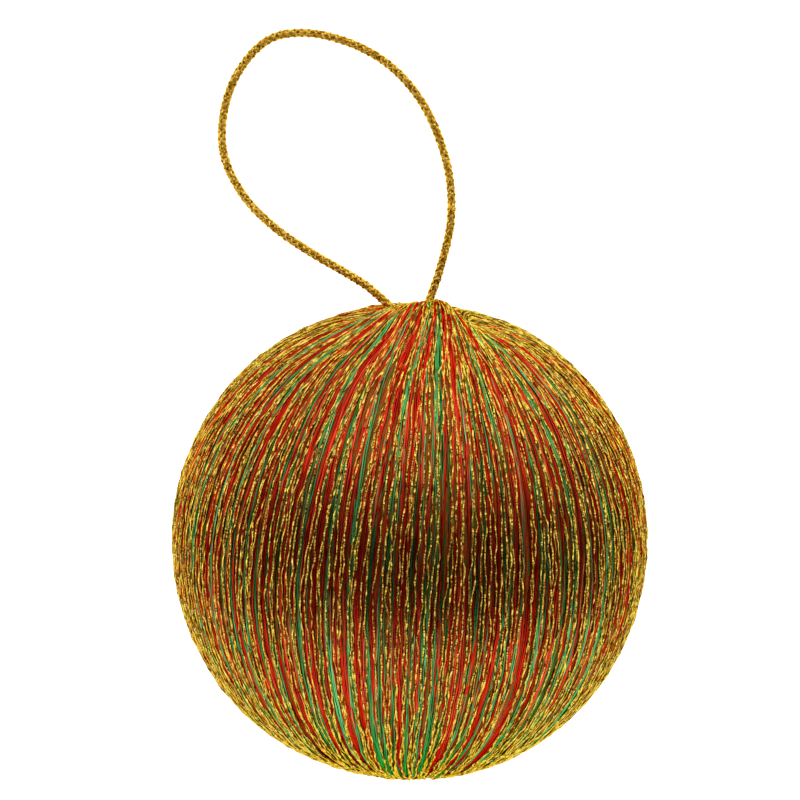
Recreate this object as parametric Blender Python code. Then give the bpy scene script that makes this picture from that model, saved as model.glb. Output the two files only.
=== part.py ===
"""A thread-wound Christmas ball with a hanging loop of round braided cord.

Run with: blender --background --python part.py

Units are metres and +Z is up, along the axis that the thread is wound about. The origin is the
inner top of the loop, where a hook or a twig holds it, so everything else hangs below it.
"""

import math

import bmesh
import bpy
from mathutils import Vector

# Ball
BALL_DIAMETER = 0.075
BALL_AXIS_X = 0.0212
BALL_AXIS_Y = -0.0024
SHOULDER_SWELL = 0.0003
WAVINESS = 0.0001
RIB_COUNT = 48
RIB_DEPTH = 0.0006
BALL_RING_COUNT = 26
RING_GRADING = 0.45

# Both holes lie a little to one side of the ball's own centre line
HOLE_OFFSET_X = 0.0008
OFFSET_FULL_RADIUS = 0.010
OFFSET_END_RADIUS = 0.025

# Top hole, which takes the cord
TOP_MOUTH_RADIUS = 0.0063
TOP_WALL_RADIUS = 0.0054
TOP_HOLE_DEPTH = 0.006

# Bottom hole
BOTTOM_MOUTH_RADIUS = 0.0032
BOTTOM_WALL_RADIUS = 0.0024
BOTTOM_HOLE_DEPTH = 0.003

FLOOR_FILLET = 0.0003
LIP_STEPS = 3

# The bunch of threads that stands up at the front of the top hole
BUNCH_HEIGHT = 0.0020
BUNCH_ANGLE = math.radians(-70)
BUNCH_LEFT_SPAN = math.radians(110)
BUNCH_RIGHT_SPAN = math.radians(40)
BUNCH_FULL_RADIUS = 0.0066
BUNCH_END_RADIUS = 0.018
LIP_RAISE = 0.0003

# The dip that the cord's left leg presses into the lip
DIP_DEPTH = 0.0012
DIP_ANGLE = math.radians(-166)
DIP_SPAN = math.radians(34)

# Cord, from its left foot in the top hole round the loop to its right foot
CORD_DIAMETER = 0.0015
CORD_GAP = 0.0003
CORD_POINT_SPACING = 0.0030
CORD_BEVEL_RESOLUTION = 2
ROUTE_STEPS = 24
CORD_ROUTE = (
    (0.0190, -0.0042, -0.0457),
    (0.0190, -0.0042, -0.0439),
    (0.0188, -0.0042, -0.0422),
    (0.0180, -0.0041, -0.0408),
    (0.0164, -0.0040, -0.0398),
    (0.0143, -0.0038, -0.0388),
    (0.0117, -0.0036, -0.0374),
    (0.0087, -0.0033, -0.0358),
    (0.0026, -0.0027, -0.0329),
    (-0.0033, -0.0020, -0.0295),
    (-0.0084, -0.0014, -0.0250),
    (-0.0118, -0.0009, -0.0191),
    (-0.0123, -0.0005, -0.0124),
    (-0.0104, -0.0002, -0.0059),
    (-0.0061, 0.0000, -0.0007),
    (0.0000, 0.0000, 0.00075),
    (0.0071, -0.0002, -0.0005),
    (0.0131, -0.0005, -0.0035),
    (0.0179, -0.0009, -0.0082),
    (0.0213, -0.0014, -0.0141),
    (0.0234, -0.0020, -0.0205),
    (0.0239, -0.0027, -0.0272),
    (0.0228, -0.0033, -0.0340),
    (0.0220, -0.0036, -0.0372),
    (0.0215, -0.0039, -0.0391),
    (0.0211, -0.0041, -0.0412),
    (0.0210, -0.0042, -0.0435),
    (0.0210, -0.0042, -0.0457),
)

# Colours and finish
THREAD_COLOUR = (0.36, 0.17, 0.04, 1.0)
THREAD_ROUGHNESS = 0.45
THREAD_METALLIC = 0.3
CORD_COLOUR = (0.62, 0.36, 0.05, 1.0)
CORD_ROUGHNESS = 0.35
CORD_METALLIC = 0.8

MERGE_DISTANCE = 1e-7

BALL_RADIUS = BALL_DIAMETER / 2
CORD_RADIUS = CORD_DIAMETER / 2
COLUMN_COUNT = 2 * RIB_COUNT


def clear_scene():
    """Removes whatever the scene starts with."""
    for obj in list(bpy.data.objects):
        bpy.data.objects.remove(obj, do_unlink=True)


def make_material(name, colour, roughness, metallic):
    """A Principled material of one colour."""
    material = bpy.data.materials.new(name)
    material.use_nodes = True
    shader = material.node_tree.nodes["Principled BSDF"]
    shader.inputs["Base Color"].default_value = colour
    shader.inputs["Roughness"].default_value = roughness
    shader.inputs["Metallic"].default_value = metallic
    material.diffuse_color = colour
    return material


def smoothstep(low, high, value):
    """0 up to low, 1 from high on, and a soft step between them."""
    share = min(max((value - low) / (high - low), 0.0), 1.0)
    return share * share * (3.0 - 2.0 * share)


def angle_between(first, second):
    """The signed turn from second to first, between minus pi and pi."""
    return (first - second + math.pi) % (2.0 * math.pi) - math.pi


def sphere_height(radius):
    """Height of the ball's surface above its centre, this far from the axis."""
    return math.sqrt(BALL_RADIUS ** 2 - radius ** 2)


def hole_profile(mouth_radius, wall_radius, depth):
    """Points (radius, height) of a hole, from the middle of its floor to the crest of its lip."""
    floor_height = BALL_RADIUS - depth
    lip = mouth_radius - wall_radius
    lip_centre_height = sphere_height(mouth_radius) - lip
    points = [
        (0.0, floor_height),
        (wall_radius - FLOOR_FILLET, floor_height),
        (wall_radius, floor_height + FLOOR_FILLET),
    ]
    for step in range(LIP_STEPS + 1):
        turn = math.pi - 0.5 * math.pi * step / LIP_STEPS
        points.append((mouth_radius + lip * math.cos(turn), lip_centre_height + lip * math.sin(turn)))
    return points


def ball_profile():
    """Points (radius, height) from the floor of the top hole, down the outside, to the bottom hole."""
    top = hole_profile(TOP_MOUTH_RADIUS, TOP_WALL_RADIUS, TOP_HOLE_DEPTH)
    bottom = hole_profile(BOTTOM_MOUTH_RADIUS, BOTTOM_WALL_RADIUS, BOTTOM_HOLE_DEPTH)
    start = math.asin(TOP_MOUTH_RADIUS / BALL_RADIUS)
    end = math.pi - math.asin(BOTTOM_MOUTH_RADIUS / BALL_RADIUS)
    outside = []
    for ring in range(1, BALL_RING_COUNT):
        share = ring / BALL_RING_COUNT
        share -= RING_GRADING * math.sin(2.0 * math.pi * share) / (2.0 * math.pi)
        polar = start + (end - start) * share
        outside.append((BALL_RADIUS * math.sin(polar), BALL_RADIUS * math.cos(polar)))
    return top + outside + [(radius, -height) for radius, height in reversed(bottom)]


def bunch_share(turn):
    """How much of the bunch of threads stands at this angle round the top hole, 0 to 1."""
    away = angle_between(turn, BUNCH_ANGLE)
    span = BUNCH_RIGHT_SPAN if away > 0 else BUNCH_LEFT_SPAN
    if abs(away) >= span:
        return 0.0
    return math.cos(0.5 * math.pi * away / span) ** 2


def dip_share(turn):
    """How much of the cord's dip lies at this angle round the top hole, 0 to 1."""
    away = angle_between(turn, DIP_ANGLE)
    if abs(away) >= DIP_SPAN:
        return 0.0
    return math.cos(0.5 * math.pi * away / DIP_SPAN) ** 2


def lip_lift(radius, turn):
    """How far the threads stand above the plain ball around the top hole."""
    fade = 1.0 - smoothstep(BUNCH_FULL_RADIUS, BUNCH_END_RADIUS, radius)
    return fade * (LIP_RAISE + BUNCH_HEIGHT * bunch_share(turn) - DIP_DEPTH * dip_share(turn))


def shape_ball_vertex(vert, normal, floor_height):
    """Moves one point of the turned ball to where the winding puts it."""
    place = vert.co.copy()
    radius = math.hypot(place.x, place.y)
    if radius < MERGE_DISTANCE:
        return place + Vector((HOLE_OFFSET_X, 0.0, 0.0))
    turn = math.atan2(place.y, place.x)
    on_floor = abs(abs(place.z) - floor_height[place.z > 0]) < MERGE_DISTANCE
    outward = place.normalized()
    polar = math.acos(outward.z)
    swell = SHOULDER_SWELL * math.sin(2.0 * polar) ** 2
    waves = WAVINESS * math.sin(3.0 * turn + 2.0 * polar) * math.sin(2.0 * polar)
    moved = place.copy()
    if not on_floor:
        column = round(turn / (2.0 * math.pi) * COLUMN_COUNT)
        side = 0.5 if column % 2 == 0 else -0.5
        moved += normal * (RIB_DEPTH * side * radius / BALL_RADIUS)
        moved += outward * (swell + waves) * smoothstep(0.0, OFFSET_END_RADIUS, radius)
        above_floor = smoothstep(0.0, FLOOR_FILLET, abs(place.z) - floor_height[place.z > 0])
        if place.z > 0:
            moved.z += lip_lift(radius, turn) * above_floor
    offset = 1.0 - smoothstep(OFFSET_FULL_RADIUS, OFFSET_END_RADIUS, radius)
    moved.x += HOLE_OFFSET_X * offset
    return moved


def make_ball():
    """The wound ball: its profile turned about the axis, then ribbed and bunched like the threads."""
    floor_height = {True: BALL_RADIUS - TOP_HOLE_DEPTH, False: BALL_RADIUS - BOTTOM_HOLE_DEPTH}
    mesh_maker = bmesh.new()
    profile = [mesh_maker.verts.new((radius, 0.0, height)) for radius, height in ball_profile()]
    edges = [mesh_maker.edges.new(pair) for pair in zip(profile, profile[1:])]
    bmesh.ops.spin(
        mesh_maker,
        geom=profile + edges,
        cent=(0.0, 0.0, 0.0),
        axis=(0.0, 0.0, 1.0),
        angle=2.0 * math.pi,
        steps=COLUMN_COUNT,
        use_merge=True,
    )
    bmesh.ops.remove_doubles(mesh_maker, verts=mesh_maker.verts[:], dist=MERGE_DISTANCE)
    bmesh.ops.recalc_face_normals(mesh_maker, faces=mesh_maker.faces[:])
    mesh_maker.normal_update()
    places = [shape_ball_vertex(vert, vert.normal, floor_height) for vert in mesh_maker.verts]
    centre = ball_centre()
    for vert, place in zip(mesh_maker.verts, places):
        vert.co = place + centre
    mesh = bpy.data.meshes.new("wound_ball")
    mesh_maker.to_mesh(mesh)
    mesh_maker.free()
    mesh.shade_smooth()
    mesh.set_sharp_from_angle(angle=math.radians(50))
    ball = bpy.data.objects.new("wound_ball", mesh)
    bpy.context.collection.objects.link(ball)
    mesh.materials.append(make_material("wound_thread", THREAD_COLOUR, THREAD_ROUGHNESS, THREAD_METALLIC))
    return ball


def ball_centre():
    """The ball hangs so that the floor of its top hole lies a gap below the cord's feet."""
    foot = min(point[2] for point in CORD_ROUTE)
    top = foot - CORD_GAP + TOP_HOLE_DEPTH
    return Vector((BALL_AXIS_X, BALL_AXIS_Y, top - BALL_RADIUS))


def smooth_route(points):
    """A smooth curve through the points, as many short steps."""
    points = [Vector(point) for point in points]
    padded = [2 * points[0] - points[1]] + points + [2 * points[-1] - points[-2]]
    curve = [points[0].copy()]
    for before, start, end, after in zip(padded, padded[1:], padded[2:], padded[3:]):
        for step in range(1, ROUTE_STEPS + 1):
            t = step / ROUTE_STEPS
            curve.append(
                0.5
                * (
                    2 * start
                    + (end - before) * t
                    + (2 * before - 5 * start + 4 * end - after) * t ** 2
                    + (3 * start - before - 3 * end + after) * t ** 3
                )
            )
    return curve


def evenly_spaced(curve, spacing):
    """Points along the curve, the same distance apart, with both of its ends."""
    lengths = [0.0]
    for start, end in zip(curve, curve[1:]):
        lengths.append(lengths[-1] + (end - start).length)
    count = max(2, round(lengths[-1] / spacing))
    places = []
    index = 0
    for step in range(count + 1):
        wanted = lengths[-1] * step / count
        while index < len(lengths) - 2 and lengths[index + 1] < wanted:
            index += 1
        share = (wanted - lengths[index]) / (lengths[index + 1] - lengths[index])
        places.append(curve[index].lerp(curve[index + 1], share))
    return places


def make_cord():
    """The hanging loop, a plain round tube along the cord's route."""
    places = evenly_spaced(smooth_route(CORD_ROUTE), CORD_POINT_SPACING)
    curve = bpy.data.curves.new("hanging_cord", "CURVE")
    curve.dimensions = "3D"
    curve.bevel_depth = CORD_RADIUS
    curve.bevel_resolution = CORD_BEVEL_RESOLUTION
    curve.use_fill_caps = True
    spline = curve.splines.new("POLY")
    spline.points.add(len(places) - 1)
    for point, place in zip(spline.points, places):
        point.co = (*place, 1.0)
    cord = bpy.data.objects.new("hanging_cord", curve)
    bpy.context.collection.objects.link(cord)
    curve.materials.append(make_material("gold_braid", CORD_COLOUR, CORD_ROUGHNESS, CORD_METALLIC))
    return cord


clear_scene()
make_ball()
make_cord()
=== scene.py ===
"""Looks of the thread-wound Christmas ball: every thread, the braided cord loop, and the stage."""

import math

import bmesh
import bpy
import numpy as np
from bpy.props import FloatProperty, FloatVectorProperty, IntProperty, PointerProperty
from mathutils import Matrix, Vector


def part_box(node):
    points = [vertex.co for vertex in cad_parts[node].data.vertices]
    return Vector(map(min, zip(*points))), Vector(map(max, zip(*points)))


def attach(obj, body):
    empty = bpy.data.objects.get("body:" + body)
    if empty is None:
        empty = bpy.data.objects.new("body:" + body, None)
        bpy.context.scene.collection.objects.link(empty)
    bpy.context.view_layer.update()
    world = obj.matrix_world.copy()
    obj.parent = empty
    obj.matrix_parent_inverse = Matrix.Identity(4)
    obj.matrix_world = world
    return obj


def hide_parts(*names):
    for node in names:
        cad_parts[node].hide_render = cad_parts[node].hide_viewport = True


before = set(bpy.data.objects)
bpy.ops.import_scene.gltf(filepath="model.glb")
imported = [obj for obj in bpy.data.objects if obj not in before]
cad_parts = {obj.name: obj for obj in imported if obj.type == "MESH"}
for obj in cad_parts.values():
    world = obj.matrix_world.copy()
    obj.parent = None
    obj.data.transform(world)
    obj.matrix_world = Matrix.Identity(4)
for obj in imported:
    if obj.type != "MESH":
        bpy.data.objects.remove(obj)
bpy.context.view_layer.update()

bl_info = {
    "name": "Thread-wound Christmas Ball",
    "version": (1, 0, 0),
    "blender": (4, 5, 0),
    "location": "View3D > Sidebar > Thread Ball",
    "description": "Winds a ball with red, green and gold thread and gives it a braided cord loop",
    "category": "Add Mesh",
}

MM = 0.001

# The ball's form in metres, as the solid has it: its holes lie a little to one side, it swells at the
# shoulders, and the threads stand up or sink round the top hole, in millimetres by turn in degrees
BALL_RADIUS = 0.0375
HOLE_OFFSET_X = 0.0008
OFFSET_FULL_RADIUS = 0.010
OFFSET_END_RADIUS = 0.025
SHOULDER_SWELL = 0.00015
WAVINESS = 0.0001
TOP_MOUTH_RADIUS = 0.0063
TOP_WALL_RADIUS = 0.0054
TOP_HOLE_DEPTH = 0.006
BOTTOM_MOUTH_RADIUS = 0.0032
BOTTOM_WALL_RADIUS = 0.0024
BOTTOM_HOLE_DEPTH = 0.003
RIM_FULL_RADIUS = 0.0066
RIM_END_RADIUS = 0.018
RIM_HEIGHTS_MM = (
    (-180, -0.2),
    (-172, -0.8),
    (-165, -0.7),
    (-152, 0.9),
    (-135, 1.6),
    (-120, 2.2),
    (-105, 2.8),
    (-90, 3.1),
    (-78, 3.15),
    (-70, 2.7),
    (-58, 1.5),
    (-44, -0.3),
    (-24, -1.2),
    (0, -0.6),
    (30, -0.15),
    (60, -0.1),
    (90, 0.0),
    (120, 0.2),
    (150, 0.3),
    (180, -0.2),
)

# The bands that show at the ball's front: turn at the ball's middle in degrees, number of threads, colour,
# lean at the top hole and at the bottom hole in degrees, and the half where they lie over their neighbours
FRONT_BANDS = (
    (-152.0, 2, "green", 0.5, 2.5, "top"),
    (-133.0, 1, "green", 0.0, 3.0, "bottom"),
    (-126.4, 2, "red", 0.0, 3.2, "neither"),
    (-122.9, 1, "green", 0.0, 1.5, "bottom"),
    (-115.7, 2, "green", -1.5, 3.0, "top"),
    (-113.8, 1, "red", 0.0, 3.3, "top"),
    (-108.3, 2, "green", -1.0, 3.3, "bottom"),
    (-105.2, 1, "red", -1.0, 2.5, "top"),
    (-102.9, 2, "green", -1.8, 2.0, "top"),
    (-101.2, 1, "red", 0.5, 2.0, "top"),
    (-98.6, 1, "green", 0.0, 3.1, "bottom"),
    (-96.6, 1, "red", 2.6, 1.8, "neither"),
    (-94.8, 1, "green", 0.3, 1.8, "top"),
    (-91.3, 2, "red", 1.0, 3.0, "top"),
    (-86.6, 1, "red", 1.5, 3.1, "neither"),
    (-84.6, 1, "green", 1.5, 1.5, "bottom"),
    (-81.0, 1, "red", 2.0, 0.5, "neither"),
    (-76.4, 1, "red", 1.5, 3.0, "neither"),
    (-63.6, 1, "red", 1.0, 1.6, "neither"),
    (-62.3, 1, "green", 1.5, 2.1, "bottom"),
    (-60.4, 1, "red", 2.5, 3.0, "neither"),
    (-57.6, 1, "green", 1.0, 3.4, "bottom"),
    (-53.6, 1, "red", 0.0, 3.4, "neither"),
    (-49.0, 1, "red", -1.0, 3.0, "neither"),
    (-47.3, 2, "green", 0.0, 3.2, "bottom"),
    (-41.0, 1, "green", -2.0, 3.2, "top"),
    (-35.5, 1, "green", 0.0, 3.4, "bottom"),
)

# How much higher a band lies in the half where it shows, and how much lower in the other
BAND_RISE = 0.06 * MM
BAND_SINK = 0.03 * MM

# Runs of one colour round the rest of the ball: how likely it is that a run goes on for another thread. For
# red this swings from one side of the ball to the other
COLOUR_ORDER_SEED = 1142
RED_GOES_ON = 0.56
RED_GOES_ON_SWING = 0.16
GREEN_GOES_ON = 0.14
LONGEST_RUN = 4

# How unevenly the threads lie round the axis, how they lean, in degrees, and how they sway on their way; the
# sine of the angle by which a lean carries a thread round the axis has a limit
SATIN_SEED = 7
SATIN_UNEVEN = 0.24
GOLD_SEED = 19
GOLD_UNEVEN = 0.45
TOP_LEAN_SPREAD = 1.2
BOTTOM_LEAN = 2.5
BOTTOM_LEAN_SPREAD = 0.8
MOST_STRAY = 0.9
SATIN_SWAY = 0.28 * MM
GOLD_SWAY = 0.3 * MM
SWAY_LENGTH = 50 * MM
SWAY_STRETCHES = (1.0, 0.43, 0.19)
SWAY_RADIUS = 0.010

# How deep the threads lie at the ball's middle. They crowd together towards the holes, in layers, and there
# each kind goes deeper, or comes up, by its own amount above and below the middle. For the gold above the
# middle it changes with the turn: shares of GOLD_SUNK_ABOVE, by turn in degrees
MOST_CROWDING = 5.0
FULLY_SUNK_CROWDING = 0.5
SATIN_DEPTHS = {"red": 0.33 * MM, "green": 0.37 * MM}
SATIN_DEPTH_SPREAD = 0.10 * MM
SATIN_LAYER_DEPTH = 0.15 * MM
SATIN_SUNK = {"red": (-0.03 * MM, 0.05 * MM), "green": (-0.04 * MM, -0.17 * MM)}
GOLD_DEPTH = 0.24 * MM
GOLD_LAYER_DEPTH = 0.14 * MM
GOLD_SUNK_BELOW = -0.24 * MM
GOLD_SUNK_ABOVE = 0.13 * MM
GOLD_BURIED = (
    (-180, 0.4),
    (-130, 0.2),
    (-113, 0.1),
    (-106, 0.3),
    (-92, 0.35),
    (-86, -0.1),
    (-65, -0.2),
    (-20, -0.4),
    (60, 0.2),
    (180, 0.4),
)

# The satin filaments' points, widths and shades; a band at the front has an even shade, given here as the
# lowest one and how much higher it may be
SATIN_SPACING = 3.3 * MM
SATIN_LEAST_WIDTH = 0.80
SATIN_WIDTH_SPREAD = 0.35
SATIN_UNEVEN_SHADE = 0.5
BAND_UNEVEN_SHADE = 0.05
BAND_SHADES = {"red": (0.45, 0.4), "green": (0.58, 0.30)}

# The gold foil's points, widths and twist; it gets fuller towards the foot, between the two radii
GOLD_SPACING = 0.80 * MM
GOLD_LEAST_WIDTH = 0.50
GOLD_WIDTH_SPREAD = 1.05
GOLD_FULLER_BELOW = 0.40
GOLD_FULLER_ABOVE = -0.05
GOLD_FULLER_RADII = (0.007, 0.026)
GOLD_TWIST_STEP = 0.55
GOLD_LEAST_TWIST = 0.1
GOLD_TWIST_SPREAD = 1.8
GOLD_CRUMPLE = 0.12 * MM
GOLD_PIECES = 3

# The cord's braid, and its route from its left foot in the top hole round the loop to its right foot
CORD_DIAMETER = 0.0015
CORD_CORE_RADIUS = 0.00048
CORD_SEED = 11
CORD_SPACING = 0.27 * MM
ROUTE_STEPS = 24
YARN_RADIUS = 0.135 * MM
YARN_STEP = 0.33
YARN_LEAST_WIDTH = 0.90
YARN_WIDTH_SPREAD = 0.2
OUTER_YARN_INSET = 0.06 * MM
STRAND_INSET = 0.23 * MM
STRANDS_EACH_WAY = 4
WEAVE_DEPTH = 0.11 * MM
CORD_ROUTE = (
    (0.0190, -0.0042, -0.0457),
    (0.0190, -0.0042, -0.0439),
    (0.0185, -0.0042, -0.0428),
    (0.0173, -0.0041, -0.0416),
    (0.0158, -0.0040, -0.0405),
    (0.0140, -0.0038, -0.03905),
    (0.0117, -0.0036, -0.0374),
    (0.0087, -0.0033, -0.0358),
    (0.0026, -0.0027, -0.0329),
    (-0.0033, -0.0020, -0.0295),
    (-0.0084, -0.0014, -0.0250),
    (-0.0118, -0.0009, -0.0191),
    (-0.0123, -0.0005, -0.0124),
    (-0.0104, -0.0002, -0.0059),
    (-0.0061, 0.0000, -0.0007),
    (0.0000, 0.0000, 0.00075),
    (0.0071, -0.0002, -0.0005),
    (0.0131, -0.0005, -0.0035),
    (0.0179, -0.0009, -0.0082),
    (0.0213, -0.0014, -0.0141),
    (0.0234, -0.0020, -0.0205),
    (0.0239, -0.0027, -0.0272),
    (0.0228, -0.0033, -0.0340),
    (0.0220, -0.0036, -0.0372),
    (0.0215, -0.0039, -0.0391),
    (0.0211, -0.0041, -0.0412),
    (0.0210, -0.0042, -0.0435),
    (0.0210, -0.0042, -0.0457),
)

# How the tubes of thread are made into meshes; a tube may be tilted by up to about a whole turn
TUBE_SIDES = 4
WELD_DISTANCE = 1e-6
NEARLY_ZERO = 1e-6
ANY_TILT = 6.28

# The packed thread under the outer ones, with its stripes
PACKED_DEPTH = 0.00048
PACKED_FLOOR_GAP = 0.0003
PACKED_COLUMNS = 160
PACKED_RINGS = 90
POLE_MERGE_DISTANCE = 1e-7
STRIPE_RADIUS_IN_HOLES = 0.007
STRIPE_STRETCH = 0.08
STRIPE_SCALE = 3500.0

# How rough the threads' shine is and how much of it is white, and how fine their patches and crinkles are
THREAD_ROUGHNESS = 0.32
WHITE_SHEEN = 0.05
SATIN_PATCHES = 200.0
LUREX_PATCHES = 700.0
CORD_PATCHES = 600.0
CORE_PATCHES = 500.0
LUREX_CRINKLES = 700.0
LUREX_CRINKLE_DEPTH = 1.2 * MM
PACKED_BUMP_DEPTH = 0.3 * MM

# The studio's white tent: how bright each part is, and where its soft edge starts and ends
BACK_LIGHT = 1.84
BACK_LIGHT_RISE = 0.2
BACK_RISE_EDGE = (math.radians(5), math.radians(30))
BACK_EDGE = (-0.25, 0.45)
OVERHEAD_LIGHT = 1.66
OVERHEAD_EDGE = (math.radians(8), math.radians(60))
OPENING_SIDE = (-0.60, 0.42, 0.68)
OPENING_EDGE = (0.86, 0.96)
OPENING_DIMS = -0.95
SIDE_LIGHT_SIDE = (-0.93, 0.22, 0.24)
SIDE_LIGHT_EDGE = (0.80, 0.98)
SIDE_LIGHT = 1.4
DIMMEST_LIGHT = 0.075
FLOOR_GREY = 0.86
FLOOR_SHEEN = 0.1
FLOOR_GLOW = 0.4

# The photograph's square frame and the ball's place in it, in pixels, and the camera
PHOTO_WIDTH = 800
BALL_CENTRE_PIXEL = (409.7, 539.8)
BALL_RADIUS_PIXELS = 238.4
SENSOR_WIDTH_MM = 36.0
FARTHEST_SEEN = 30.0


def ball_centre():
    """Middle of the ball: midway across the solid, and above its foot by the drop of the bottom lip."""
    low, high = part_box("wound_ball")
    foot = math.sqrt(BALL_RADIUS ** 2 - BOTTOM_MOUTH_RADIUS ** 2)
    return Vector((0.5 * (low.x + high.x), 0.5 * (low.y + high.y), low.z + foot))


BALL_CENTRE = ball_centre()


class BallSettings(bpy.types.PropertyGroup):
    """Sizes and colours of the threads."""

    satin_count: IntProperty(
        name="Satin threads", description="Red and green threads round the ball", default=480, min=24
    )
    gold_count: IntProperty(
        name="Gold threads", description="Gold threads round the ball", default=292, min=24
    )
    satin_radius: FloatProperty(
        name="Satin filament radius", description="Radius of one filament of a satin thread",
        default=0.155 * MM, unit="LENGTH", precision=5,
    )
    satin_spread: FloatProperty(
        name="Satin spread", description="How far the outer filaments lie from the middle of their thread",
        default=0.12 * MM, unit="LENGTH", precision=5,
    )
    gold_radius: FloatProperty(
        name="Gold thread radius", description="Radius of a gold thread",
        default=0.118 * MM, unit="LENGTH", precision=5,
    )
    red: FloatVectorProperty(
        name="Red", description="Colour of the red satin", subtype="COLOR", default=(0.58, 0.020, 0.008)
    )
    green: FloatVectorProperty(
        name="Green", description="Colour of the green satin", subtype="COLOR", default=(0.050, 0.25, 0.062)
    )
    gold: FloatVectorProperty(
        name="Gold", description="Colour of the lurex", subtype="COLOR", default=(0.54, 0.34, 0.052)
    )


class CordSettings(bpy.types.PropertyGroup):
    """Sizes and colours of the braided cord."""

    diameter: FloatProperty(
        name="Cord diameter", description="Thickness of the cord", default=CORD_DIAMETER, unit="LENGTH",
        precision=5,
    )
    braid_pitch: FloatProperty(
        name="Braid pitch", description="Length of one turn of a strand round the cord",
        default=4.4 * MM, unit="LENGTH", precision=5,
    )
    gold: FloatVectorProperty(
        name="Gold", description="Colour of the cord's yarn", subtype="COLOR", default=(0.74, 0.40, 0.032)
    )


class StageSettings(bpy.types.PropertyGroup):
    """Camera, floor and light."""

    camera_distance: FloatProperty(
        name="Camera distance", description="From the ball's middle", default=0.6, unit="LENGTH"
    )
    camera_elevation: FloatProperty(
        name="Camera elevation", description="How far the camera looks down on the ball",
        default=math.radians(13.5), subtype="ANGLE",
    )
    camera_roll: FloatProperty(
        name="Camera roll", description="How far the ball's axis leans to the right in the picture",
        default=math.radians(4.2), subtype="ANGLE",
    )
    floor_drop: FloatProperty(
        name="Floor drop", description="Floor below the foot of the ball", default=0.06, unit="LENGTH"
    )
    floor_front: FloatProperty(
        name="Floor front", description="From the ball to the floor's front edge", default=0.16,
        unit="LENGTH",
    )
    floor_reach: FloatProperty(
        name="Floor reach", description="Half the floor's width", default=6.0, unit="LENGTH"
    )


def smoothstep(low, high, value):
    """0 up to low, 1 from high on, and a soft step between them."""
    share = np.clip((value - low) / (high - low), 0.0, 1.0)
    return share * share * (3.0 - 2.0 * share)


def rim_height(turn):
    """How high the threads stand round the top hole: bunched in front, low right and under the cord."""
    away = (turn + math.pi) % (2.0 * math.pi) - math.pi
    angles, heights = np.array(RIM_HEIGHTS_MM).T
    return np.interp(np.degrees(away), angles, heights) * MM


def hole_side(mouth_radius, wall_radius, depth, steps):
    """Points (radius, height) from deep on a hole's wall up to the crest of its lip."""
    lip = mouth_radius - wall_radius
    crest = math.sqrt(BALL_RADIUS ** 2 - mouth_radius ** 2)
    wall_top = crest - lip
    wall = [(wall_radius, height) for height in np.linspace(BALL_RADIUS - depth, wall_top, steps)[:-1]]
    turns = np.linspace(math.pi, 0.5 * math.pi, steps)
    arc = [(mouth_radius + lip * math.cos(turn), wall_top + lip * math.sin(turn)) for turn in turns]
    return np.array(wall + arc)


class Meridian:
    """The ball's outline from one hole, down its side, to the other hole, measured along its length."""

    FINE_STEPS = 1200
    HOLE_STEPS = 30
    SLOPE_REACH = 0.0003

    def __init__(self, top_depth, bottom_depth):
        top = hole_side(TOP_MOUTH_RADIUS, TOP_WALL_RADIUS, top_depth, self.HOLE_STEPS)
        bottom = hole_side(BOTTOM_MOUTH_RADIUS, BOTTOM_WALL_RADIUS, bottom_depth, self.HOLE_STEPS)
        start = math.asin(TOP_MOUTH_RADIUS / BALL_RADIUS)
        end = math.pi - math.asin(BOTTOM_MOUTH_RADIUS / BALL_RADIUS)
        polar = np.linspace(start, end, self.FINE_STEPS)[1:-1]
        outside = BALL_RADIUS * np.stack([np.sin(polar), np.cos(polar)], axis=1)
        self.points = np.concatenate([top, outside, bottom[::-1] * (1.0, -1.0)])
        steps = np.linalg.norm(np.diff(self.points, axis=0), axis=1)
        self.along = np.concatenate([[0.0], np.cumsum(steps)])
        self.length = self.along[-1]

    def place(self, along):
        """Radius and height at these lengths along the outline."""
        return np.array([np.interp(along, self.along, column) for column in self.points.T])

    def at(self, along):
        """Radius, height, and the outward direction, at these lengths along the outline."""
        radius, height = self.place(along)
        before = np.clip(along - self.SLOPE_REACH, 0.0, self.length)
        after = np.clip(along + self.SLOPE_REACH, 0.0, self.length)
        run, rise = self.place(after) - self.place(before)
        size = np.hypot(run, rise)
        return radius, height, -rise / size, run / size


def on_ball(meridian, along, turn, raised):
    """Points at these lengths down the meridian and turns round the axis, raised off the surface."""
    radius, height, out_radius, out_height = meridian.at(along)
    polar = np.arctan2(radius, height)
    swell = SHOULDER_SWELL * np.sin(2.0 * polar) ** 2
    waves = WAVINESS * np.sin(3.0 * turn + 2.0 * polar) * np.sin(2.0 * polar)
    standing = (swell + waves) * smoothstep(0.0, OFFSET_END_RADIUS, radius)
    fade = 1.0 - smoothstep(RIM_FULL_RADIUS, RIM_END_RADIUS, radius)
    lift = np.where(height > 0, fade * rim_height(turn), 0.0)
    out_of_floor = smoothstep(BALL_RADIUS - TOP_HOLE_DEPTH, BALL_RADIUS - 0.5 * TOP_HOLE_DEPTH, height)
    lift = np.where(radius < TOP_WALL_RADIUS + NEARLY_ZERO, lift * out_of_floor, lift)
    radius = radius + out_radius * raised + np.sin(polar) * standing
    height = height + out_height * raised + np.cos(polar) * standing + lift
    shift = HOLE_OFFSET_X * (1.0 - smoothstep(OFFSET_FULL_RADIUS, OFFSET_END_RADIUS, radius))
    x = radius * np.cos(turn) + shift
    return np.stack([x, radius * np.sin(turn), height], axis=-1) + np.array(BALL_CENTRE)


def in_scene(name, data):
    """A new object in the scene, made of this mesh, curve or camera."""
    made = bpy.data.objects.new(name, data)
    bpy.context.scene.collection.objects.link(made)
    return made


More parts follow.
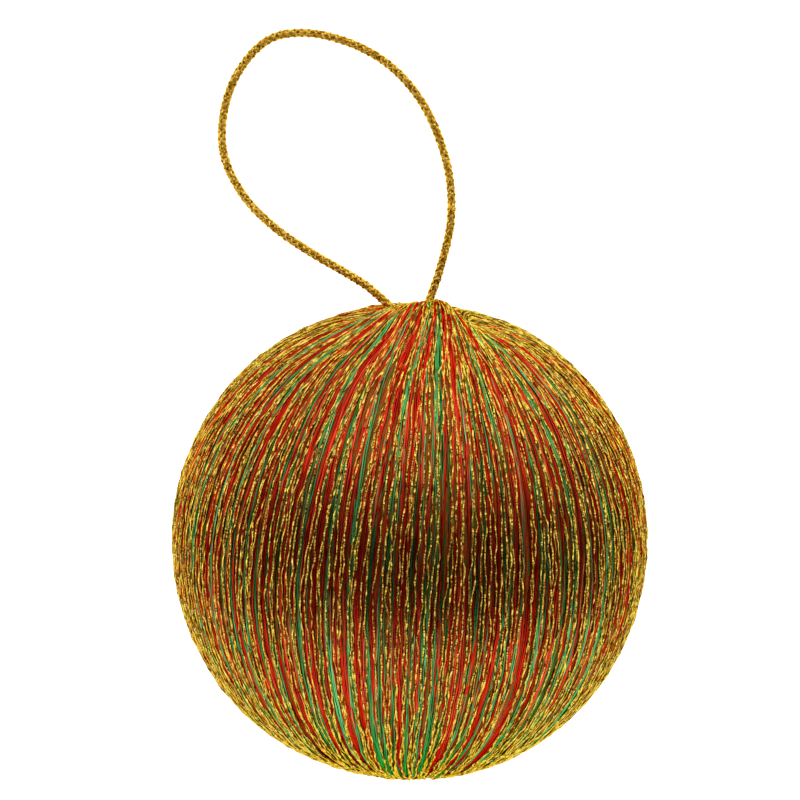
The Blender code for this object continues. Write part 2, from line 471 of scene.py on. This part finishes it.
def material(name, roughness, metallic):
    """A new material, its node tree and its Principled shader, with both constants on its own sockets."""
    made = bpy.data.materials.new(name)
    made.use_nodes = True
    shader = made.node_tree.nodes["Principled BSDF"]
    shader.inputs["Roughness"].default_value = roughness
    shader.inputs["Metallic"].default_value = metallic
    return made, made.node_tree, shader


def colour_ramp(tree, value, stops):
    """Colours over a value, from the first stop to the last."""
    ramp = tree.nodes.new("ShaderNodeValToRGB")
    ramp.color_ramp.elements[0].position = stops[0][0]
    ramp.color_ramp.elements[0].color = (*stops[0][1], 1.0)
    ramp.color_ramp.elements[1].position = stops[-1][0]
    ramp.color_ramp.elements[1].color = (*stops[-1][1], 1.0)
    for position, colour in stops[1:-1]:
        ramp.color_ramp.elements.new(position).color = (*colour, 1.0)
    tree.links.new(value, ramp.inputs["Fac"])
    return ramp


def soft_step(tree, value, low, high, top):
    """0 up to low and top from high on, with a soft step between them."""
    step = tree.nodes.new("ShaderNodeMapRange")
    step.interpolation_type = "SMOOTHSTEP"
    step.inputs["From Min"].default_value = low
    step.inputs["From Max"].default_value = high
    step.inputs["To Min"].default_value = 0.0
    step.inputs["To Max"].default_value = top
    tree.links.new(value, step.inputs["Value"])
    return step.outputs["Result"]


def calculated(tree, operation, first, second):
    """One Math node on two values, each a socket or a number."""
    node = tree.nodes.new("ShaderNodeMath")
    node.operation = operation
    for value, socket in zip((first, second), node.inputs):
        if isinstance(value, float):
            socket.default_value = value
        else:
            tree.links.new(value, socket)
    return node.outputs["Value"]


def thread_value(tree, name):
    """What each thread's points carry: tone, its own shade, or along, the length from its start."""
    value = tree.nodes.new("ShaderNodeAttribute")
    value.attribute_name = name
    return value.outputs["Fac"]


def noise_at(tree, place, scale, detail):
    """A noise in patches of 1/scale metres, at a place that another node works out."""
    noise = tree.nodes.new("ShaderNodeTexNoise")
    noise.inputs["Scale"].default_value = scale
    noise.inputs["Detail"].default_value = detail
    tree.links.new(place.outputs["Vector"], noise.inputs["Vector"])
    return noise.outputs["Fac"]


def thread_noise(tree, scale, detail):
    """A noise along each thread that differs from thread to thread."""
    place = tree.nodes.new("ShaderNodeCombineXYZ")
    tree.links.new(thread_value(tree, "along"), place.inputs["X"])
    tree.links.new(thread_value(tree, "tone"), place.inputs["Y"])
    return noise_at(tree, place, scale, detail)


def raise_bumps(tree, shader, height, strength, distance):
    """Bumps on the shader's surface, as high as a value says."""
    bump = tree.nodes.new("ShaderNodeBump")
    bump.inputs["Strength"].default_value = strength
    bump.inputs["Distance"].default_value = distance
    tree.links.new(height, bump.inputs["Height"])
    tree.links.new(bump.outputs["Normal"], shader.inputs["Normal"])


def satin_material(name, dark, colour, light):
    """Satin rayon: a coloured sheen, some filaments dark and some light, each uneven along its length."""
    made, tree, shader = material(name, roughness=THREAD_ROUGHNESS, metallic=1.0)
    sheen = [WHITE_SHEEN + (1.0 - WHITE_SHEEN) * channel for channel in light]
    shader.inputs["Specular Tint"].default_value = (*sheen, 1.0)
    ramp = colour_ramp(tree, thread_value(tree, "tone"), [(0.10, dark), (0.55, colour), (1.0, light)])
    dim = (0.58, 0.58, 0.58)
    bright = (1.18, 1.18, 1.18)
    patches = colour_ramp(tree, thread_noise(tree, SATIN_PATCHES, 3.0), [(0.34, dim), (0.64, bright)])
    mix = tree.nodes.new("ShaderNodeMix")
    mix.data_type = "RGBA"
    mix.blend_type = "MULTIPLY"
    mix.inputs["Factor"].default_value = 1.0
    tree.links.new(ramp.outputs["Color"], mix.inputs["A"])
    tree.links.new(patches.outputs["Color"], mix.inputs["B"])
    tree.links.new(mix.outputs["Result"], shader.inputs["Base Color"])
    return made


def lurex_material(name, patches, dark, colour, light):
    """Crinkled gold lurex: bright foil, browner where it turns over and shows its core."""
    made, tree, shader = material(name, roughness=THREAD_ROUGHNESS, metallic=1.0)
    shader.inputs["Specular Tint"].default_value = (*light, 1.0)
    ramp = colour_ramp(tree, thread_noise(tree, patches, 2.0), [(0.34, dark), (0.44, colour), (0.62, light)])
    tree.links.new(ramp.outputs["Color"], shader.inputs["Base Color"])
    raise_bumps(tree, shader, thread_noise(tree, LUREX_CRINKLES, 2.0), 1.0, LUREX_CRINKLE_DEPTH)
    return made


class Tube:
    """One thread's centre line with its widths and tilts, its own shade and its material."""

    def __init__(self, points, widths, tilts, tone, slot=0):
        self.points = points
        self.widths = widths
        self.tilts = tilts
        self.tone = tone
        self.slot = slot

    def along(self):
        """Length from the first point to each point."""
        steps = np.linalg.norm(np.diff(self.points, axis=0), axis=1)
        return np.concatenate([[0.0], np.cumsum(steps)])


def tube_piece(name, radius, tubes, materials, smooth):
    """One piece of many four-sided tubes, welded and capped, that keeps each tube's shade and length."""
    curve = bpy.data.curves.new(name, "CURVE")
    curve.dimensions = "3D"
    curve.twist_mode = "MINIMUM"
    curve.bevel_depth = radius
    curve.bevel_resolution = 0
    curve.use_fill_caps = True
    for tube in tubes:
        count = len(tube.points)
        spline = curve.splines.new("POLY")
        spline.points.add(count - 1)
        spline.points.foreach_set("co", np.column_stack([tube.points, np.ones(count)]).ravel())
        spline.points.foreach_set("radius", tube.widths)
        spline.points.foreach_set("tilt", tube.tilts)
        spline.material_index = tube.slot
        spline.use_smooth = smooth
    for made in materials:
        curve.materials.append(made)
    holder = in_scene(name + "_curve", curve)
    graph = bpy.context.evaluated_depsgraph_get()
    mesh = bpy.data.meshes.new_from_object(holder.evaluated_get(graph))
    bpy.data.objects.remove(holder, do_unlink=True)
    bpy.data.curves.remove(curve)
    mesh.name = name
    mark_threads(mesh, tubes)
    weld(mesh)
    return in_scene(name, mesh)


def mark_threads(mesh, tubes):
    """Writes each tube's shade and length on its points.

    The mesh has the points of all caps first, from the last tube to the first, and then those of the tubes.
    """
    lengths = [tube.along() for tube in tubes]
    alongs = []
    tones = []
    for tube, along in zip(reversed(tubes), reversed(lengths)):
        alongs.append(np.repeat([along[-1], along[0]], TUBE_SIDES))
        tones.append(np.full(2 * TUBE_SIDES, tube.tone))
    for tube, along in zip(tubes, lengths):
        alongs.append(np.repeat(along, TUBE_SIDES))
        tones.append(np.full(len(along) * TUBE_SIDES, tube.tone))
    for name, values in (("along", alongs), ("tone", tones)):
        attribute = mesh.attributes.new(name, "FLOAT", "POINT")
        attribute.data.foreach_set("value", np.concatenate(values).astype(np.float32))


def weld(mesh):
    """Closes the seams between the tubes' sides and their caps."""
    maker = bmesh.new()
    maker.from_mesh(mesh)
    bmesh.ops.remove_doubles(maker, verts=maker.verts[:], dist=WELD_DISTANCE)
    maker.to_mesh(mesh)
    maker.free()


class THREADBALL_OT_stage(bpy.types.Operator):
    """Add the pale floor, the soft studio light and the camera"""

    bl_idname = "threadball.stage"
    bl_label = "Stage"

    def execute(self, context):
        settings = context.scene.threadball_stage
        aim_camera(settings)
        lay_floor(settings)
        light_studio()
        return {"FINISHED"}


def aim_camera(settings):
    """The camera sees the ball where the photograph has it."""
    data = bpy.data.cameras.new("photo_camera")
    camera = in_scene("photo_camera", data)
    bpy.context.scene.camera = camera
    distance = settings.camera_distance
    elevation = settings.camera_elevation
    roll = settings.camera_roll
    focal_pixels = BALL_RADIUS_PIXELS / math.tan(math.asin(BALL_RADIUS / distance))
    data.sensor_width = SENSOR_WIDTH_MM
    data.lens = focal_pixels / PHOTO_WIDTH * SENSOR_WIDTH_MM
    data.clip_end = FARTHEST_SEEN
    from_ball = Vector((0.0, -math.cos(elevation), math.sin(elevation)))
    level = Vector((1.0, 0.0, 0.0))
    upright = Vector((0.0, math.sin(elevation), math.cos(elevation)))
    right = level * math.cos(roll) + upright * math.sin(roll)
    up = upright * math.cos(roll) - level * math.sin(roll)
    across = (BALL_CENTRE_PIXEL[0] - PHOTO_WIDTH / 2) / focal_pixels
    above = (PHOTO_WIDTH / 2 - BALL_CENTRE_PIXEL[1]) / focal_pixels
    forward = (-from_ball - right * across - up * above).normalized()
    right = (right - forward * right.dot(forward)).normalized()
    up = right.cross(forward)
    turned = Matrix((right, up, -forward)).transposed().to_4x4()
    camera.matrix_world = Matrix.Translation(BALL_CENTRE + from_ball * distance) @ turned


def lay_floor(settings):
    """A wide pale floor below the hanging ball."""
    maker = bmesh.new()
    bmesh.ops.create_grid(maker, x_segments=1, y_segments=1, size=settings.floor_reach)
    foot = BALL_CENTRE.z - BALL_RADIUS - settings.floor_drop
    back = BALL_CENTRE.y - settings.floor_front + settings.floor_reach
    bmesh.ops.translate(maker, vec=(0.0, back, foot), verts=maker.verts[:])
    mesh = bpy.data.meshes.new("floor")
    maker.to_mesh(mesh)
    maker.free()
    floor = in_scene("floor", mesh)
    made, _, shader = material("pale_floor", roughness=0.9, metallic=0.0)
    shader.inputs["Base Color"].default_value = (FLOOR_GREY, FLOOR_GREY, FLOOR_GREY, 1.0)
    shader.inputs["Specular IOR Level"].default_value = FLOOR_SHEEN
    shader.inputs["Emission Color"].default_value = (1.0, 1.0, 1.0, 1.0)
    shader.inputs["Emission Strength"].default_value = FLOOR_GLOW
    mesh.materials.append(made)


def soft_patch(tree, direction, middle, low, high, top):
    """A round patch with a soft edge that lies towards one side, for the tent's brightness."""
    facing = tree.nodes.new("ShaderNodeVectorMath")
    facing.operation = "DOT_PRODUCT"
    facing.inputs[1].default_value = Vector(middle).normalized()
    tree.links.new(direction.outputs["Generated"], facing.inputs[0])
    return soft_step(tree, facing.outputs["Value"], low, high, top)


def light_studio():
    """A white tent: bright overhead and behind the ball, dim towards the camera, white where it is seen."""
    scene = bpy.context.scene
    scene.view_settings.view_transform = "Standard"
    world = bpy.data.worlds.new("studio")
    world.use_nodes = True
    scene.world = world
    tree = world.node_tree
    direction = tree.nodes.new("ShaderNodeTexCoord")
    parts = tree.nodes.new("ShaderNodeSeparateXYZ")
    tree.links.new(direction.outputs["Generated"], parts.inputs["Vector"])
    elevation = calculated(tree, "ARCSINE", parts.outputs["Z"], 0.0)
    rise = soft_step(tree, elevation, *BACK_RISE_EDGE, BACK_LIGHT_RISE)
    back_light = calculated(tree, "ADD", rise, BACK_LIGHT)
    behind = calculated(tree, "MULTIPLY", soft_step(tree, parts.outputs["Y"], *BACK_EDGE, 1.0), back_light)
    overhead = soft_step(tree, elevation, *OVERHEAD_EDGE, OVERHEAD_LIGHT)
    tent = calculated(tree, "MAXIMUM", behind, overhead)
    opening = soft_patch(tree, direction, OPENING_SIDE, *OPENING_EDGE, OPENING_DIMS)
    tent = calculated(tree, "MULTIPLY", tent, calculated(tree, "ADD", opening, 1.0))
    side_light = soft_patch(tree, direction, SIDE_LIGHT_SIDE, *SIDE_LIGHT_EDGE, SIDE_LIGHT)
    tent = calculated(tree, "ADD", tent, side_light)
    tent = calculated(tree, "MAXIMUM", tent, DIMMEST_LIGHT)
    seen = tree.nodes.new("ShaderNodeLightPath")
    white = calculated(tree, "MAXIMUM", tent, seen.outputs["Is Camera Ray"])
    background = tree.nodes["Background"]
    background.inputs["Color"].default_value = (1.0, 1.0, 1.0, 1.0)
    tree.links.new(white, background.inputs["Strength"])


class THREADBALL_OT_cord(bpy.types.Operator):
    """Braid the hanging loop along its route"""

    bl_idname = "threadball.cord"
    bl_label = "Hanging cord"

    def execute(self, context):
        braid_cord(context.scene.threadball_cord)
        return {"FINISHED"}


def smooth_route(points, steps):
    """A smooth curve through the points, as many short steps."""
    points = np.array(points)
    padded = np.concatenate([[2 * points[0] - points[1]], points, [2 * points[-1] - points[-2]]])
    t = (np.arange(1, steps + 1) / steps)[:, None]
    curve = [points[:1]]
    for before, start, end, after in zip(padded, padded[1:], padded[2:], padded[3:]):
        curve.append(0.5 * (
            2 * start
            + (end - before) * t
            + (2 * before - 5 * start + 4 * end - after) * t ** 2
            + (3 * start - before - 3 * end + after) * t ** 3
        ))
    return np.concatenate(curve)


def evenly_spaced(curve, spacing):
    """Points along the curve, the same distance apart, with both of its ends."""
    lengths = np.concatenate([[0.0], np.cumsum(np.linalg.norm(np.diff(curve, axis=0), axis=1))])
    wanted = np.linspace(0.0, lengths[-1], round(lengths[-1] / spacing) + 1)
    return np.column_stack([np.interp(wanted, lengths, curve[:, axis]) for axis in range(3)]), wanted


def carried_frame(line):
    """Two side directions at each point of the line, carried along it without twist."""
    tangents = np.gradient(line, axis=0)
    tangents /= np.linalg.norm(tangents, axis=1)[:, None]
    side = np.cross(tangents[0], (0.0, 1.0, 0.0))
    sides = []
    for tangent in tangents:
        side = side - tangent * side.dot(tangent)
        side = side / np.linalg.norm(side)
        sides.append(side)
    sides = np.array(sides)
    return sides, np.cross(tangents, sides)


def braid_cord(settings):
    """Four strands each way round the cord, over and under, each of three lurex yarns."""
    random = np.random.default_rng(CORD_SEED)
    curve = smooth_route(CORD_ROUTE, ROUTE_STEPS)
    line, along = evenly_spaced(curve, CORD_SPACING)
    sides, others = carried_frame(line)
    middle = 0.5 * settings.diameter - STRAND_INSET
    winding = 2.0 * math.pi * along / settings.braid_pitch
    materials = [
        lurex_material(
            "cord_lurex", CORD_PATCHES, dark=(0.34, 0.13, 0.005), colour=settings.gold,
            light=(1.0, 0.70, 0.12),
        ),
        # The cord's inner yarn; its near-black brown is partly painted shade for the gaps between the strands
        lurex_material(
            "cord_core_painted_shade", CORE_PATCHES, dark=(0.08, 0.025, 0.002), colour=(0.12, 0.04, 0.003),
            light=(0.16, 0.06, 0.004),
        ),
    ]
    tubes = []
    for way in (1.0, -1.0):
        for strand in range(STRANDS_EACH_WAY):
            for yarn in (-1, 0, 1):
                turn = way * winding + strand * 2.0 * math.pi / STRANDS_EACH_WAY + yarn * YARN_STEP
                weave = way * WEAVE_DEPTH * np.cos(STRANDS_EACH_WAY * winding)
                reach = (middle + weave - OUTER_YARN_INSET * abs(yarn))[:, None]
                points = line + reach * (np.cos(turn)[:, None] * sides + np.sin(turn)[:, None] * others)
                widths = YARN_LEAST_WIDTH + YARN_WIDTH_SPREAD * random.random(len(points))
                tilts = np.full(len(points), ANY_TILT * random.random())
                tubes.append(Tube(points, widths, tilts, random.random()))
    core = np.full(len(line), CORD_CORE_RADIUS / YARN_RADIUS)
    tubes.append(Tube(line, core, np.zeros(len(line)), 0.5, 1))
    braid = tube_piece("hanging_cord_braid", YARN_RADIUS, tubes, materials, True)
    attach(braid, "root")
    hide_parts("hanging_cord")


class THREADBALL_OT_windings(bpy.types.Operator):
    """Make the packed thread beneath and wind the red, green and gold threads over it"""

    bl_idname = "threadball.windings"
    bl_label = "Windings"

    def execute(self, context):
        settings = context.scene.threadball_ball
        satin = Winding(settings.satin_count, SATIN_SEED, SATIN_UNEVEN, SATIN_LAYER_DEPTH)
        kinds = satin_kinds(satin)
        pieces = [pack_underlayer()]
        dyes = {
            "red": satin_material(
                "red_satin", dark=(0.32, 0.020, 0.006), colour=settings.red, light=(0.82, 0.090, 0.045)
            ),
            "green": satin_material(
                "green_satin", dark=(0.080, 0.110, 0.016), colour=settings.green, light=(0.16, 0.60, 0.22)
            ),
        }
        for kind, dye in dyes.items():
            pieces.append(wind_satin(satin, kinds, kind, settings, dye))
        gold = Winding(settings.gold_count, GOLD_SEED, GOLD_UNEVEN, GOLD_LAYER_DEPTH)
        lurex = [
            lurex_material(
                "gold_lurex", LUREX_PATCHES, dark=(0.25, 0.100, 0.012), colour=settings.gold,
                light=(0.81, 0.62, 0.095),
            ),
            lurex_material(
                "old_gold_lurex", LUREX_PATCHES, dark=(0.20, 0.070, 0.008), colour=(0.46, 0.28, 0.042),
                light=(0.73, 0.52, 0.070),
            ),
        ]
        for part in range(GOLD_PIECES):
            indices = range(part, settings.gold_count, GOLD_PIECES)
            pieces.append(wind_gold(gold, "gold_thread_%d" % (part + 1), indices, settings, lurex))
        for piece in pieces:
            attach(piece, "root")
            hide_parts("wound_ball")
        return {"FINISHED"}


def lean_turn(radius, height, lean_top, lean_bottom):
    """How far round a straight-pulled thread strays from its meridian, for its lean at each hole."""
    slope = np.abs(radius / np.where(np.abs(height) < NEARLY_ZERO, NEARLY_ZERO, height))
    lean = np.where(height > 0, lean_top, lean_bottom)
    return np.arcsin(np.clip(np.tan(lean) / slope, -MOST_STRAY, MOST_STRAY))


class Winding:
    """Where the threads of the ball lie: each one's turn round the axis, its leans and its layer."""

    DEPTH_IN_TOP_HOLE = 0.0054
    DEPTH_IN_BOTTOM_HOLE = 0.0026

    def __init__(self, count, seed, uneven, layer_depth):
        self.layer_depth = layer_depth
        self.random = np.random.default_rng(seed)
        self.meridian = Meridian(self.DEPTH_IN_TOP_HOLE, self.DEPTH_IN_BOTTOM_HOLE)
        self.count = count
        places = np.arange(count) + self.random.normal(0.0, uneven, count)
        self.turns = 2.0 * math.pi * places / count
        self.lean_top = np.radians(self.random.normal(0.0, TOP_LEAN_SPREAD, count))
        self.lean_bottom = np.radians(self.random.normal(BOTTOM_LEAN, BOTTOM_LEAN_SPREAD, count))
        self.layer = self.random.random(count)
        self.guided = np.zeros(count, bool)
        self.raised = np.zeros((count, 2))

    def guide(self, index, turn, lean_top, lean_bottom, shows):
        """Lays one thread at a given turn and leans, in degrees, over its neighbours where it shows."""
        self.turns[index] = math.radians(turn)
        self.lean_top[index] = math.radians(lean_top)
        self.lean_bottom[index] = math.radians(lean_bottom)
        self.guided[index] = True
        self.raised[index] = [BAND_RISE if shows == half else -BAND_SINK for half in ("top", "bottom")]

    def path(self, index, spacing, depth, sunk_above, sunk_below, sideways, sway):
        """Points along one thread, or one filament of it that lies a little to the side.

        It lies at its depth at the ball's middle, and is sunk by more above and below it, towards the holes.
        """
        count = int(self.meridian.length / spacing)
        along = np.linspace(0.0, self.meridian.length, count + 1)
        radius, height, _, _ = self.meridian.at(along)
        turn = self.turns[index] + lean_turn(
            np.maximum(radius, BOTTOM_MOUTH_RADIUS), height, self.lean_top[index], self.lean_bottom[index]
        )
        phases = self.random.random(3) * 2.0 * math.pi
        wave = sum(
            np.sin(2.0 * math.pi * along / (SWAY_LENGTH * stretch) + phase)
            for stretch, phase in zip(SWAY_STRETCHES, phases)
        ) / 3.0
        turn = turn + (sideways + sway * wave) / np.maximum(radius, SWAY_RADIUS)
        crowding = np.minimum(BALL_RADIUS / np.maximum(radius, TOP_WALL_RADIUS) - 1.0, MOST_CROWDING)
        above, below = self.raised[index]
        raised = np.where(height > 0, above, below)
        layer = np.where(raised > 0.0, 1.0, self.layer[index])
        sunk = depth + (1.0 - layer) * self.layer_depth * crowding
        deeper = np.where(height > 0, sunk_above, sunk_below) - raised
        sunk = sunk + deeper * np.minimum(crowding / FULLY_SUNK_CROWDING, 1.0)
        return on_ball(self.meridian, along, turn, -sunk)


def satin_kinds(winding):
    """Red and green in the order they lie round the ball: runs of a few threads, and the front's bands."""
    random = np.random.default_rng(COLOUR_ORDER_SEED)
    count = winding.count
    kinds = []
    kind = "red"
    while len(kinds) < count:
        turn = 2.0 * math.pi * len(kinds) / count
        goes_on = RED_GOES_ON - RED_GOES_ON_SWING * math.cos(turn) if kind == "red" else GREEN_GOES_ON
        run = 1
        while run < LONGEST_RUN and random.random() < goes_on:
            run += 1
        kinds += [kind] * run
        kind = "green" if kind == "red" else "red"
    kinds = kinds[:count]
    for middle, threads, kind, lean_top, lean_bottom, shows in FRONT_BANDS:
        for thread in range(threads):
            turn = middle + (thread - 0.5 * (threads - 1)) * 360.0 / count
            index = round((turn + 360.0) / 360.0 * count)
            kinds[index] = kind
            winding.guide(index, turn, lean_top, lean_bottom, shows)
    return kinds


def wind_satin(winding, kinds, kind, settings, satin):
    """All threads of one satin colour, each of two filaments side by side."""
    random = winding.random
    above, below = SATIN_SUNK[kind]
    lowest_shade, shade_spread = BAND_SHADES[kind]
    tubes = []
    for index in [place for place, own in enumerate(kinds) if own == kind]:
        depth = SATIN_DEPTHS[kind] + SATIN_DEPTH_SPREAD * random.random()
        shade = random.random()
        uneven = SATIN_UNEVEN_SHADE
        if winding.guided[index]:
            shade = lowest_shade + shade_spread * shade
            uneven = BAND_UNEVEN_SHADE
        for side in (-1.0, 1.0):
            aside = side * settings.satin_spread
            points = winding.path(index, SATIN_SPACING, depth, above, below, aside, SATIN_SWAY)
            widths = SATIN_LEAST_WIDTH + SATIN_WIDTH_SPREAD * random.random(len(points))
            tone = (1.0 - uneven) * shade + uneven * random.random()
            tilts = np.full(len(points), ANY_TILT * random.random())
            tubes.append(Tube(points, widths, tilts, tone))
    return tube_piece(kind + "_satin_thread", settings.satin_radius, tubes, [satin], True)


def smooth_noise(random, count, size):
    """Random offsets, each averaged with its neighbours."""
    rough = random.normal(0.0, size, (count + 2, 3))
    return 0.5 * rough[1:-1] + 0.25 * (rough[:-2] + rough[2:])


def wind_gold(winding, name, indices, settings, materials):
    """Gold threads, each a square foil twisted round and round so that it glints at every turn."""
    random = winding.random
    tubes = []
    for index in indices:
        turn = (math.degrees(winding.turns[index]) + 180.0) % 360.0 - 180.0
        above = GOLD_SUNK_ABOVE * float(np.interp(turn, *zip(*GOLD_BURIED)))
        points = winding.path(index, GOLD_SPACING, GOLD_DEPTH, above, GOLD_SUNK_BELOW, 0.0, GOLD_SWAY)
        count = len(points)
        flat = np.hypot(points[:, 0] - BALL_CENTRE.x, points[:, 1] - BALL_CENTRE.y)
        fuller = np.where(points[:, 2] < BALL_CENTRE.z, GOLD_FULLER_BELOW, GOLD_FULLER_ABOVE)
        fuller = fuller * np.interp(flat, GOLD_FULLER_RADII, (1.0, 0.0))
        widths = (GOLD_LEAST_WIDTH + GOLD_WIDTH_SPREAD * random.random(count)) * (1.0 + fuller)
        start = random.random() * ANY_TILT
        twist = GOLD_LEAST_TWIST + GOLD_TWIST_SPREAD * random.random(count)
        tilts = start + np.cumsum(GOLD_TWIST_STEP * twist)
        points = points + smooth_noise(random, count, GOLD_CRUMPLE)
        tubes.append(Tube(points, widths, tilts, random.random(), int(random.integers(len(materials)))))
    return tube_piece(name, settings.gold_radius, tubes, materials, False)


def wound_noise(tree):
    """A noise in stripes from hole to hole, as fine as the threads at the middle, coarser in the holes."""
    place = tree.nodes.new("ShaderNodeTexCoord")
    shifted = tree.nodes.new("ShaderNodeVectorMath")
    shifted.operation = "SUBTRACT"
    shifted.inputs[1].default_value = BALL_CENTRE
    tree.links.new(place.outputs["Object"], shifted.inputs[0])
    parts = tree.nodes.new("ShaderNodeSeparateXYZ")
    tree.links.new(shifted.outputs["Vector"], parts.inputs["Vector"])
    turn = calculated(tree, "ARCTAN2", parts.outputs["Y"], parts.outputs["X"])
    square = calculated(tree, "MULTIPLY", parts.outputs["X"], parts.outputs["X"])
    other_square = calculated(tree, "MULTIPLY", parts.outputs["Y"], parts.outputs["Y"])
    flat = calculated(tree, "SQRT", calculated(tree, "ADD", square, other_square), 0.0)
    widening = BALL_RADIUS - STRIPE_RADIUS_IN_HOLES
    outside = soft_step(tree, flat, TOP_MOUTH_RADIUS, TOP_MOUTH_RADIUS + MM, widening)
    stretch = calculated(tree, "ADD", outside, STRIPE_RADIUS_IN_HOLES)
    striped = tree.nodes.new("ShaderNodeCombineXYZ")
    tree.links.new(calculated(tree, "MULTIPLY", turn, stretch), striped.inputs["X"])
    tree.links.new(calculated(tree, "MULTIPLY", parts.outputs["Z"], STRIPE_STRETCH), striped.inputs["Y"])
    return noise_at(tree, striped, STRIPE_SCALE, 1.0)


def packed_material_with_painted_shade():
    """Packed thread in every colour, in stripes that run as the threads do; its dyes are darker than the outer
    threads', partly painted shade for the gaps between them.
    """
    made, tree, shader = material("packed_thread_painted_shade", roughness=0.45, metallic=0.7)
    shader.inputs["Specular IOR Level"].default_value = 0.0
    noise = wound_noise(tree)
    # Dimmer than the outer threads' dyes: painted shade where this thread shows between them
    ramp = colour_ramp(tree, noise, [
        (0.36, (0.06, 0.12, 0.02)),
        (0.44, (0.22, 0.09, 0.008)),
        (0.52, (0.36, 0.030, 0.010)),
        (0.60, (0.38, 0.12, 0.018)),
        (0.68, (0.16, 0.012, 0.002)),
    ])
    tree.links.new(ramp.outputs["Color"], shader.inputs["Base Color"])
    raise_bumps(tree, shader, noise, 0.6, PACKED_BUMP_DEPTH)
    return made


def pack_underlayer():
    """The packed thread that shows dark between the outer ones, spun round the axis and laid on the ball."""
    meridian = Meridian(TOP_HOLE_DEPTH - PACKED_FLOOR_GAP, BOTTOM_HOLE_DEPTH - PACKED_FLOOR_GAP)
    along = np.linspace(0.0, meridian.length, PACKED_RINGS)
    radius, height, _, _ = meridian.at(along)
    maker = bmesh.new()
    row = [maker.verts.new((0.0, 0.0, height[0]))]
    row += [maker.verts.new((r, 0.0, h)) for r, h in zip(radius, height)]
    row.append(maker.verts.new((0.0, 0.0, height[-1])))
    for upper, lower in zip(row, row[1:]):
        maker.edges.new((upper, lower))
    bmesh.ops.spin(
        maker, geom=maker.verts[:] + maker.edges[:], cent=(0.0, 0.0, 0.0), axis=(0.0, 0.0, 1.0),
        angle=2.0 * math.pi, steps=PACKED_COLUMNS, use_merge=True,
    )
    bmesh.ops.remove_doubles(maker, verts=maker.verts[:], dist=POLE_MERGE_DISTANCE)
    bmesh.ops.recalc_face_normals(maker, faces=maker.faces[:])
    for vert in maker.verts:
        flat = math.hypot(vert.co.x, vert.co.y)
        at_pole = flat <= NEARLY_ZERO
        step = int(np.argmin(np.hypot(radius - flat, height - vert.co.z)))
        turn = 0.0 if at_pole else math.atan2(vert.co.y, vert.co.x)
        vert.co = on_ball(meridian, along[step:step + 1], np.array([turn]), np.array([-PACKED_DEPTH]))[0]
        if at_pole:
            vert.co.xy = (BALL_CENTRE.x + HOLE_OFFSET_X, BALL_CENTRE.y)
    mesh = bpy.data.meshes.new("packed_thread_painted_shade")
    maker.to_mesh(mesh)
    maker.free()
    mesh.shade_smooth()
    mesh.materials.append(packed_material_with_painted_shade())
    return in_scene("packed_thread_painted_shade", mesh)


class THREADBALL_PT_panel(bpy.types.Panel):
    """Lists the pieces of the thread-wound ball"""

    bl_label = "Thread Ball"
    bl_idname = "THREADBALL_PT_panel"
    bl_space_type = "VIEW_3D"
    bl_region_type = "UI"
    bl_category = "Thread Ball"

    def draw(self, context):
        for operator in (THREADBALL_OT_stage, THREADBALL_OT_cord, THREADBALL_OT_windings):
            self.layout.operator(operator.bl_idname)


CLASSES = (
    BallSettings,
    CordSettings,
    StageSettings,
    THREADBALL_OT_stage,
    THREADBALL_OT_cord,
    THREADBALL_OT_windings,
    THREADBALL_PT_panel,
)


def register():
    """Makes the settings, the operators and the panel known to Blender."""
    for cls in CLASSES:
        bpy.utils.register_class(cls)
    bpy.types.Scene.threadball_ball = PointerProperty(type=BallSettings)
    bpy.types.Scene.threadball_cord = PointerProperty(type=CordSettings)
    bpy.types.Scene.threadball_stage = PointerProperty(type=StageSettings)


def unregister():
    """Takes them away again, in the opposite order."""
    del bpy.types.Scene.threadball_ball
    del bpy.types.Scene.threadball_cord
    del bpy.types.Scene.threadball_stage
    for cls in reversed(CLASSES):
        bpy.utils.unregister_class(cls)


def main():
    """Registers the add-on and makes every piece."""
    register()
    bpy.ops.threadball.stage()
    bpy.ops.threadball.cord()
    bpy.ops.threadball.windings()


if __name__ == "__main__":
    main()
